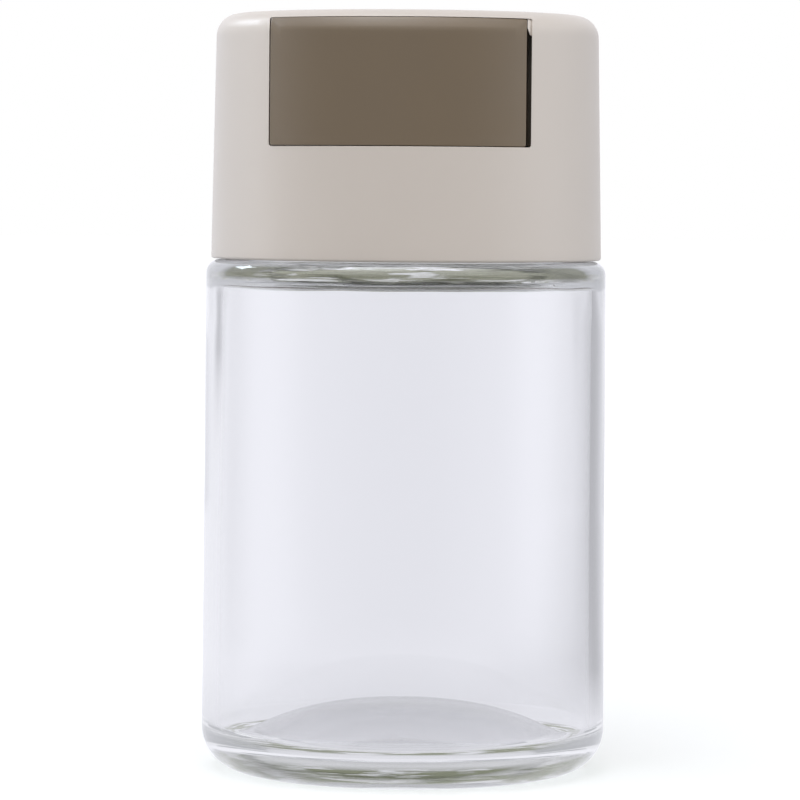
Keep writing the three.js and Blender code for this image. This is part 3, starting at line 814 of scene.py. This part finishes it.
def buttonSkin():
    half, margin = button["half"], button["margin"]
    low, high = wayAt(button["low"]), wayAt(button["high"])
    across = sideStops(-half + margin, half - margin, button["leg"], ring["nAcross"])
    ways = sideStops(low + margin, high - margin, button["leg"], ring["nUp"])
    inner = sharpRing(across, ways)
    points, faces = [], []
    for lowWay, highWay in zip(ways, ways[1:]):
        for left, right in zip(across, across[1:]):
            closeWith(points, faces, [onCap(x, w) for x, w in
                                      ((left, lowWay), (right, lowWay), (right, highWay), (left, highWay))])
    edgeRing = roundRing(half, low, high, button["corner"])
    rows = [[onCap(x, w) for x, w in inner]] + edgeRows(edgeRing, button["edge"], -1, button["edgeSteps"])
    rows.append([Vector((p.x, button["back"], p.z)) for p in rows[-1]])
    addSkin(points, faces, rows)
    closeWith(points, faces, rows[-1])
    return points, faces


def buttonHollow():
    wall = button["wall"]
    hollow = takenIn("button_hollow", wall)
    inside = button["half"] - wall
    low, high = cap["foot"] + button["low"] + wall, cap["foot"] + button["high"] - wall
    combine(hollow, block("room", (-inside, -beyond, low), (inside, button["roomBack"], high)), "INTERSECT")
    return hollow


# hooks round the slide's tab: an arm with its lip behind the tab, and a stay in front of it
def addHooks(piece):
    x, thick, lip = button["hookX"], button["hookThickness"], button["hookLip"]
    low, high = cap["foot"] + button["hookLow"], cap["foot"] + button["hookHigh"]
    front = button["hookFront"] - cap["footRadius"]
    tabBack = button["tabFront"] + button["tabThickness"] + button["gap"]
    bars = {
        "arm": (x, x + thick, front, tabBack + button["armPast"]),
        "lip": (x - lip, x + thick, tabBack, tabBack + thick),
        "stay": (x - 2 * lip - thick, x - 2 * lip, front, button["tabFront"] - button["gap"]),
    }
    for side in (-1, 1):
        for name, (near, far, fromY, toY) in bars.items():
            xs = sorted((side * near, side * far))
            combine(piece, block(name, (xs[0], fromY, low), (xs[1], toY, high)), "UNION")


def addSpringSeats(piece):
    z, face = cap["foot"] + button["springZ"], button["bossFace"]
    for side in (-1, 1):
        x = side * button["springX"]
        boss = rod("boss", button["bossRadius"], x, z, -cap["footRadius"], face)
        combine(boss, takenIn("boss_form", 0.5 * button["wall"]), "INTERSECT")
        combine(piece, boss, "UNION")
        pin = rod("pin", button["pinRadius"], x, z, face - button["pinRoot"], face + button["pinLength"])
        combine(piece, pin, "UNION")


def addFlanges(piece):
    near, far = button["half"] - 0.5 * button["wall"], button["half"] + button["flange"]
    low, high = cap["foot"] + button["low"] + button["flangeLift"], cap["foot"] + button["flangeTop"]
    front, back = button["back"] - button["flangeThickness"], button["back"] - button["flangeInset"]
    for side in (-1, 1):
        xs = sorted((side * near, side * far))
        combine(piece, block("flange", (xs[0], front, low), (xs[1], back, high)), "UNION")


def makeButton():
    piece = addMesh("button_cover", *buttonSkin())
    combine(piece, buttonHollow(), "DIFFERENCE")
    low = (-button["slideRoom"], button["slideFront"], cap["foot"])
    high = (button["slideRoom"], button["roomBack"], cap["foot"] + button["slideTop"])
    combine(piece, block("slide_room", low, high), "DIFFERENCE")
    addFlanges(piece)
    addHooks(piece)
    addSpringSeats(piece)
    piece.data.transform(Matrix.Translation((button["shift"] * mm, 0, 0)))
    smooth(piece)
    return finishPiece(piece, taupe, "button", "taupe_plastic", "push_button")


makeButton()
print("button made")

# springs of round wire, made at the length of their nodes in the frame; the button draws them together as it
# goes in

springWire = {"turns": 7, "wire": 0.8, "endPitch": 1.36, "sides": 12, "stepsPerTurn": 40, "travel": 8}


def springLine(length, radius):
    count = springWire["turns"] * springWire["stepsPerTurn"]
    rise, pitch, endTurn = length - springWire["wire"], springWire["endPitch"], 1 / springWire["turns"]
    line = []
    for i in range(count + 1):
        share = i / count
        along = pitch + (rise - 2 * pitch) * (share - endTurn) / (1 - 2 * endTurn)
        if share < endTurn:
            along = pitch * share / endTurn
        if share > 1 - endTurn:
            along = rise - pitch * (1 - share) / endTurn
        angle = 2 * math.pi * springWire["turns"] * share
        line.append(Vector((radius * math.cos(angle), along, radius * math.sin(angle))))
    return line


def sweep(name, line, section):
    rows = []
    for i, point in enumerate(line):
        ahead = (line[min(i + 1, len(line) - 1)] - line[max(i - 1, 0)]).normalized()
        out = Vector((point.x, 0, point.z)).normalized()
        out = (out - ahead * out.dot(ahead)).normalized()
        over = ahead.cross(out)
        rows.append([point + out * a + over * b for a, b in section])
    points, faces = skinFaces([[line[0]], *rows, [line[-1]]])
    return addMesh(name, points, faces)


def makeSpring(side):
    node = f"return_spring_{side}"
    low, high = nodeBox(node)
    middle = (low + high) / 2
    wire = springWire["wire"] / 2
    turns = [2 * math.pi * i / springWire["sides"] for i in range(springWire["sides"])]
    section = [(wire * math.cos(a), wire * math.sin(a)) for a in turns]
    line = springLine(high.y - low.y, (high.x - low.x) / 2 - wire)
    piece = sweep(f"spring_{side}", line, section)
    piece.data.transform(Matrix.Translation(Vector((middle.x, low.y + wire, middle.z)) * mm))
    smooth(piece, sharpDeg=60)
    finishPiece(piece, steel, "cap", "steel", node)
    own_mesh(piece)


makeSpring("left")
makeSpring("right")
print("springs made")

# thread inside the collar, half a lead away from the neck's

collarThread = {"radius": 24.95, "height": 1.05, "endHeight": 0.05, "low": 81.1, "turns": 1.4, "runOut": 0.1,
                "rootHalf": 1.05, "crestHalf": 0.35, "steps": 170}


def makeCollarThread():
    radius, turns, runOut = collarThread["radius"], collarThread["turns"], collarThread["runOut"]
    root, crest, least = collarThread["rootHalf"], collarThread["crestHalf"], collarThread["endHeight"]
    rows = []
    for i in range(collarThread["steps"] + 1):
        along = turns * i / collarThread["steps"]
        fade = smoothStep(0, runOut, along) * smoothStep(0, runOut, turns - along)
        inner = radius - least - (collarThread["height"] - least) * fade
        z = collarThread["low"] + thread["lead"] * along
        angle = 2 * math.pi * along
        section = [(radius, -root), (inner, -crest), (inner, crest), (radius, root)]
        rows.append([(r * math.sin(angle), -r * math.cos(angle), z + up) for r, up in section])
    points, faces = skinFaces(rows)
    for row in (rows[0], rows[-1]):
        closeWith(points, faces, row)
    piece = addMesh("collar_thread", points, faces)
    smooth(piece, sharpDeg=40)
    return finishPiece(piece, white, "cap", "white_plastic")


makeCollarThread()

# the frame's own nodes, with their edges broken

nodeFinish = {
    "inner_cap": (white, 0.15), "dosing_slide": (white, 0.15), "valve_cover": (cream, 0.15),
    "gasket": (silicone, 0.2), "inlet_seal": (silicone, 0.1), "outlet_seal": (silicone, 0.1),
    **{f"cover_screw_{i}": (steel, 0.08) for i in range(1, 5)},
}


def dressNode(node, material, edge):
    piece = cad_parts[node]
    piece.data.materials.clear()
    piece.data.materials.append(material)
    soften = piece.modifiers.new("edges", "BEVEL")
    soften.width = edge * mm
    soften.segments = 2
    soften.limit_method = "ANGLE"
    soften.angle_limit = math.radians(40)
    soften.harden_normals = False


for node, (material, edge) in nodeFinish.items():
    dressNode(node, material, edge)
print("inner pieces dressed")

# floor, world and lamps

studio = {
    "floorSize": 12000, "floorColour": (0.53, 0.53, 0.53, 1), "floorRoughness": 0.9,
    "floorGlow": (0.5, 0.78), "glowFrom": (40, 500), "floorNear": (60, 160), "nearShadeLevel": 0.9,
    "ambient": 0.56, "backdrop": (1, 1, 1, 1), "seenThrough": (0.845, 0.85, 0.905, 1),
    "glossLevel": 1.2, "skyLevel": 2.9, "skyFrom": (0.58, 0.85), "skyPlace": (0, -0.6, 0.8),
    "flags": {"right": {"deg": 34, "halfDeg": 32, "shade": 0.5, "mirrored": 0.6, "from": (0, 1)},
              "left": {"deg": -36, "halfDeg": 10, "shade": 0.5, "mirrored": 0, "from": (700, 1800)}},
    "flagFade": 1.7,
    "tone": ((0, 0.55), (0.25, 0.85), (0.45, 1.35), (0.55, 1.35), (0.72, 1), (1, 1)),  # front, sides, back
}


# 1 where a ray shows the background in glass, metal or gloss, how bright it is there, and 1 for the camera
def seenInGloss(tree, glossLevel):
    path = tree.nodes.new("ShaderNodeLightPath").outputs
    either = maths(tree, "MAXIMUM", path["Is Glossy Ray"], path["Is Transmission Ray"])
    level = within(tree, path["Is Transmission Ray"], (0, 1), (glossLevel, 1))
    return either, level, path["Is Camera Ray"]


# grey flags stand behind the object: the pale colour is shaded towards them, from a distance on
def flagged(tree, direction, distance=None):
    path = tree.nodes.new("ShaderNodeLightPath").outputs
    colour = studio["seenThrough"]
    for flag in studio["flags"].values():
        bearing = math.radians(flag["deg"])
        towards = vectorMaths(tree, "DOT_PRODUCT", direction, (math.sin(bearing), math.cos(bearing), 0))
        begun = 1 if distance is None else within(tree, distance, [d * mm for d in flag["from"]])
        share = within(tree, towards, (math.cos(math.radians(flag["halfDeg"])), 1), (0, begun))
        through = within(tree, path["Is Transmission Ray"], (0, 1), (flag["mirrored"], 1))
        depth = maths(tree, "MULTIPLY", maths(tree, "POWER", share, studio["flagFade"]), through)
        colour = tinted(tree, depth, colour, [1 - flag["shade"]] * 3 + [1], "MULTIPLY")
    return toned(tree, direction, colour)


# the room is dimmer behind the camera and brighter at the sides
def toned(tree, direction, colour):
    parts = tree.nodes.new("ShaderNodeSeparateXYZ")
    feed(tree, parts, "Vector", direction)
    tone = ramped(tree, within(tree, parts.outputs["Y"], (-1, 1)), studio["tone"])
    return tinted(tree, 1, colour, tone, "MULTIPLY")


# white to the camera, pale grey through glass and in reflections, and soft light for the rest
def makeWorld():
    world = bpy.data.worlds.new("white_studio")
    bpy.context.scene.world = world
    world.use_nodes = True
    tree = world.node_tree
    tree.nodes.clear()
    output = tree.nodes.new("ShaderNodeOutputWorld")
    direction = tree.nodes.new("ShaderNodeTexCoord").outputs["Generated"]
    towardsSky = vectorMaths(tree, "DOT_PRODUCT", direction, studio["skyPlace"])
    sky = within(tree, towardsSky, studio["skyFrom"], (studio["glossLevel"], studio["skyLevel"]))
    inGloss, level, toCamera = seenInGloss(tree, sky)
    soft, seen, through = (tree.nodes.new("ShaderNodeBackground") for _ in range(3))
    feed(tree, soft, "Strength", studio["ambient"])
    feed(tree, seen, "Color", studio["backdrop"])
    feed(tree, through, "Color", flagged(tree, direction))
    feed(tree, through, "Strength", level)
    light = mixed(tree, inGloss, soft.outputs["Background"], through.outputs["Background"])
    feed(tree, output, "Surface", mixed(tree, toCamera, light, seen.outputs["Background"]))


# the floor glows white to the camera, so that only the object's shadow shows on it
def makeFloor():
    half = studio["floorSize"] / 2
    corners = [(-half, -half, 0), (half, -half, 0), (half, half, 0), (-half, half, 0)]
    floor = addMesh("floor", corners, [(0, 1, 2, 3)])
    material, shader, output = newMaterial("pale_floor")
    tree = material.node_tree
    shader.inputs["Base Color"].default_value = studio["floorColour"]
    shader.inputs["Roughness"].default_value = studio["floorRoughness"]
    shader.inputs["Specular IOR Level"].default_value = 0
    place = tree.nodes.new("ShaderNodeNewGeometry").outputs["Position"]
    reach = vectorMaths(tree, "LENGTH", place)
    glow, grey = (tree.nodes.new("ShaderNodeEmission") for _ in range(2))
    glowFrom = [r * mm for r in studio["glowFrom"]]
    feed(tree, glow, "Strength", within(tree, reach, glowFrom, studio["floorGlow"]))
    # seen through the glass and in reflections, the floor near the jar is painted shade: the pale colour
    # made a little darker, without the flags and the room's tone
    near = [c * studio["nearShadeLevel"] for c in studio["seenThrough"][:3]] + [1]
    around = flagged(tree, vectorMaths(tree, "NORMALIZE", place), reach)
    far = within(tree, reach, [r * mm for r in studio["floorNear"]])
    feed(tree, grey, "Color", tinted(tree, far, near, around))
    inGloss, level, toCamera = seenInGloss(tree, studio["glossLevel"])
    feed(tree, grey, "Strength", level)
    bright = tree.nodes.new("ShaderNodeAddShader")
    feed(tree, bright, 0, shader.outputs["BSDF"])
    feed(tree, bright, 1, glow.outputs["Emission"])
    plain = mixed(tree, inGloss, shader.outputs["BSDF"], grey.outputs["Emission"])
    feed(tree, output, "Surface", mixed(tree, toCamera, plain, bright.outputs["Shader"]))
    floor.data.materials.append(material)


lamps = {
    "left_box": {"place": (-612, 391, 517), "size": (200, 170), "power": 1.1, "colour": (0.86, 0.97, 1.1)},
    "left_wall": {"place": (-760, 120, 260), "size": (500, 500), "power": 1.9, "colour": (0.88, 0.97, 1.08)},
    "right_wall": {"place": (760, -60, 300), "size": (700, 600), "power": 2.4, "colour": (0.92, 0.98, 1.05)},
    "top_box": {"place": (-150, -260, 850), "size": (420, 420), "power": 1.65, "colour": (0.93, 1, 1.06)},
    "front_box": {"place": (-80, -560, 640), "size": (500, 420), "power": 2.05, "colour": (1, 0.99, 0.97)},
}
mirroredLamps = ("left_box", "top_box")  # no surface mirrors the white walls and the front box
lampTarget = Vector((0, 0, 70))


def makeLamp(name, lamp):
    light = bpy.data.lights.new(name, "AREA")
    light.shape = "RECTANGLE"
    light.size, light.size_y = (side * mm for side in lamp["size"])
    light.energy = lamp["power"]
    light.color = lamp["colour"]
    holder = bpy.data.objects.new(name, light)
    bpy.context.scene.collection.objects.link(holder)
    place = Vector(lamp["place"])
    holder.location = place * mm
    holder.visible_transmission = False  # no lamp is seen through the glass
    holder.visible_glossy = name in mirroredLamps
    holder.rotation_mode = "QUATERNION"
    holder.rotation_quaternion = (lampTarget - place).to_track_quat("-Z", "Y")


makeWorld()
makeFloor()
for name, lamp in lamps.items():
    makeLamp(name, lamp)
print("studio lit")

# the camera, as it stood for the photograph; pixels are of its 800 x 800 frame

camera = {"distance": 672, "height": 88, "azimuthDeg": 2.8, "pitchDeg": 2.8, "rollDeg": 0.43, "focal": 4512,
          "axisPixel": 405, "frame": 800, "sensor": 36}


def makeCamera():
    data = bpy.data.cameras.new("photo_camera")
    data.sensor_width = camera["sensor"]
    data.lens = camera["focal"] * camera["sensor"] / camera["frame"]
    data.clip_start, data.clip_end = 0.01, 50
    holder = bpy.data.objects.new("photo_camera", data)
    bpy.context.scene.collection.objects.link(holder)
    bearing = math.radians(camera["azimuthDeg"])
    yaw = math.atan((camera["axisPixel"] - camera["frame"] / 2) / camera["focal"])
    away = Vector((math.sin(bearing), -math.cos(bearing), 0)) * camera["distance"]
    holder.location = (away + Vector((0, 0, camera["height"]))) * mm
    holder.rotation_mode = "XYZ"
    turn = Matrix.Rotation(bearing + yaw, 3, "Z")
    turn = turn @ Matrix.Rotation(math.radians(90 - camera["pitchDeg"]), 3, "X")
    turn = turn @ Matrix.Rotation(math.radians(camera["rollDeg"]), 3, "Z")
    holder.rotation_euler = turn.to_euler()
    bpy.context.scene.camera = holder


makeCamera()
bpy.context.scene.view_settings.view_transform = "Standard"
print("camera placed")
